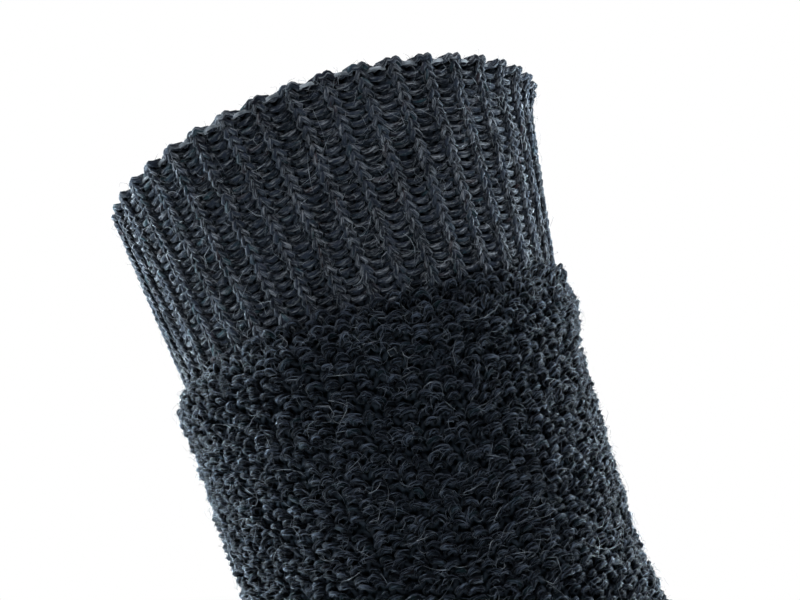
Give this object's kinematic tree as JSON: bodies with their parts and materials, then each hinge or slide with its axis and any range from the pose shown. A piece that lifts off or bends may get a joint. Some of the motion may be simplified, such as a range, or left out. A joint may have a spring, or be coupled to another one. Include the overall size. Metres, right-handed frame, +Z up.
{
  "type": "thermal sock",
  "caption": "Thick knitted crew sock filled out round as when worn: open ribbed cuff, looped terry leg and foot, turned heel pocket and closed toe.",
  "frame": {"origin": "middle of the rib cuff's height on the cuff's axis, where its stretch holds the sock on the leg", "axes": "+Z up with the sole facing -Z, +X from the heel towards the toes, +Y across the foot; the leg leans back towards -X"},
  "size_m": [0.3198, 0.0916, 0.2629],
  "materials": {
    "rib_knit": "matt heathered wool rib knit",
    "terry_knit": "matt heathered wool terry loops",
    "heel_knit": "matt heathered wool terry loops",
    "foot_knit": "matt heathered wool terry loops",
    "toe_knit": "matt heathered wool terry loops"
  },
  "bodies": {
    "root": {"rib_cuff": "rib_knit", "terry_leg": "terry_knit", "heel_pocket": "heel_knit", "terry_foot": "foot_knit", "toe_cap": "toe_knit"}
  },
  "joints": []
}
